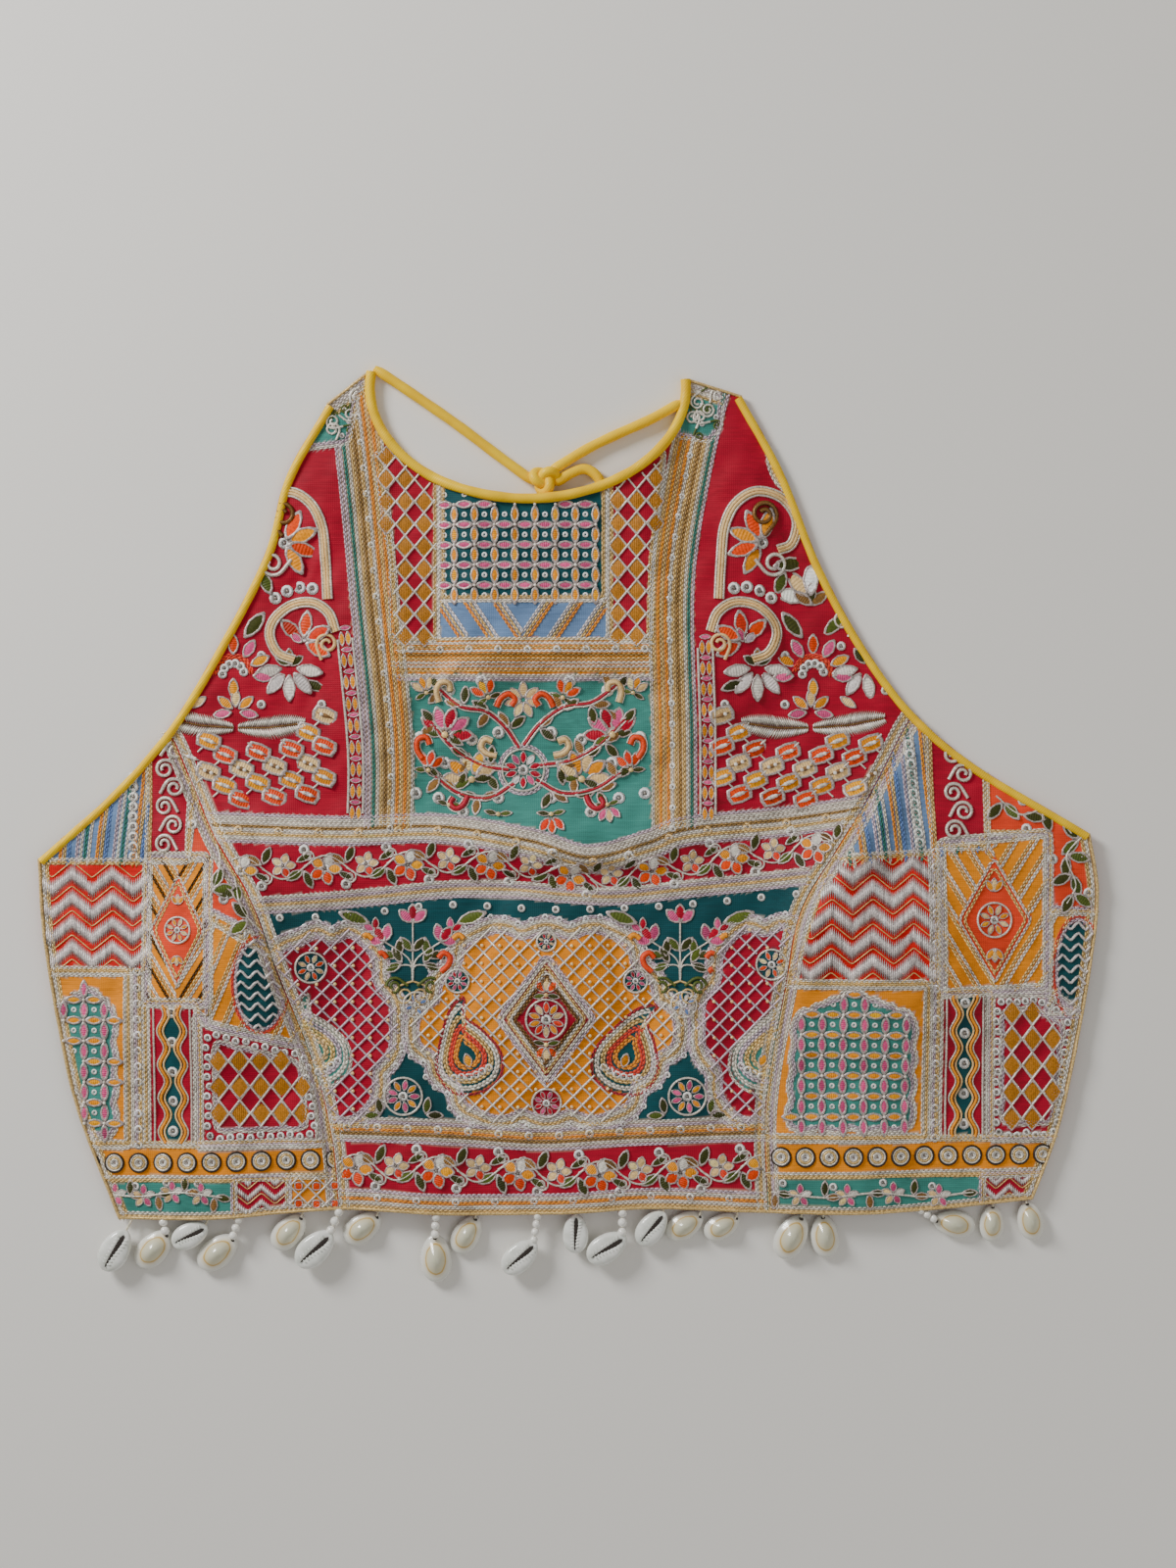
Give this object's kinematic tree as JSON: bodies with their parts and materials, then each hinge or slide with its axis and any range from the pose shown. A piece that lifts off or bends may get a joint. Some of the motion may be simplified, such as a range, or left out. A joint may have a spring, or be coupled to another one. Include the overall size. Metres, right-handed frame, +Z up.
{
  "type": "halterneck blouse",
  "caption": "Cropped halterneck blouse laid flat, front up: patchwork embroidery, piped neck and armholes, tie neck, cowrie hem.",
  "frame": {"origin": "on the underside of the back at the middle of the garment, on the surface that it lies on", "axes": "+Z up out of the front as it lies, +Y from the hem towards the neck, +X to the right as seen from above"},
  "size_m": [0.4549, 0.3912, 0.0192],
  "materials": {
    "embroidered_silk": "crimson raw silk covered in metal-thread and floss embroidery",
    "plain_silk": "plain crimson raw silk, softly slubbed",
    "satin_piping": "bright yellow satin, rolled and stitched",
    "cowrie_shell": "glossy cream and white shell",
    "zari_thread": "twisted silver-gold metal thread",
    "silk_floss": "satin-stitched silk floss in several colours",
    "sequin": "pearly white ring sequins"
  },
  "bodies": {
    "root": {"front_centre": "embroidered_silk", "front_side_left": "embroidered_silk", "front_side_right": "embroidered_silk", "back_left": "plain_silk", "back_right": "plain_silk", "back_placket": "plain_silk", "back_piping": "satin_piping", "neck_piping": "satin_piping", "armhole_piping_left": "satin_piping", "armhole_piping_right": "satin_piping", "tie_left": "satin_piping", "tie_right": "satin_piping", "tie_loop": "satin_piping", "tie_tail_left": "satin_piping", "tie_tail_right": "satin_piping", "tie_knot": "satin_piping", "drop_01": "cowrie_shell", "drop_02": "cowrie_shell", "drop_03": "cowrie_shell", "drop_04": "cowrie_shell", "drop_05": "cowrie_shell", "drop_06": "cowrie_shell", "drop_07": "cowrie_shell", "drop_08": "cowrie_shell", "drop_09": "cowrie_shell", "drop_10": "cowrie_shell", "drop_11": "cowrie_shell", "drop_12": "cowrie_shell", "drop_13": "cowrie_shell", "drop_14": "cowrie_shell", "drop_15": "cowrie_shell", "drop_16": "cowrie_shell", "drop_17": "cowrie_shell", "drop_18": "cowrie_shell", "drop_19": "cowrie_shell", "drop_20": "cowrie_shell"}
  },
  "joints": []
}
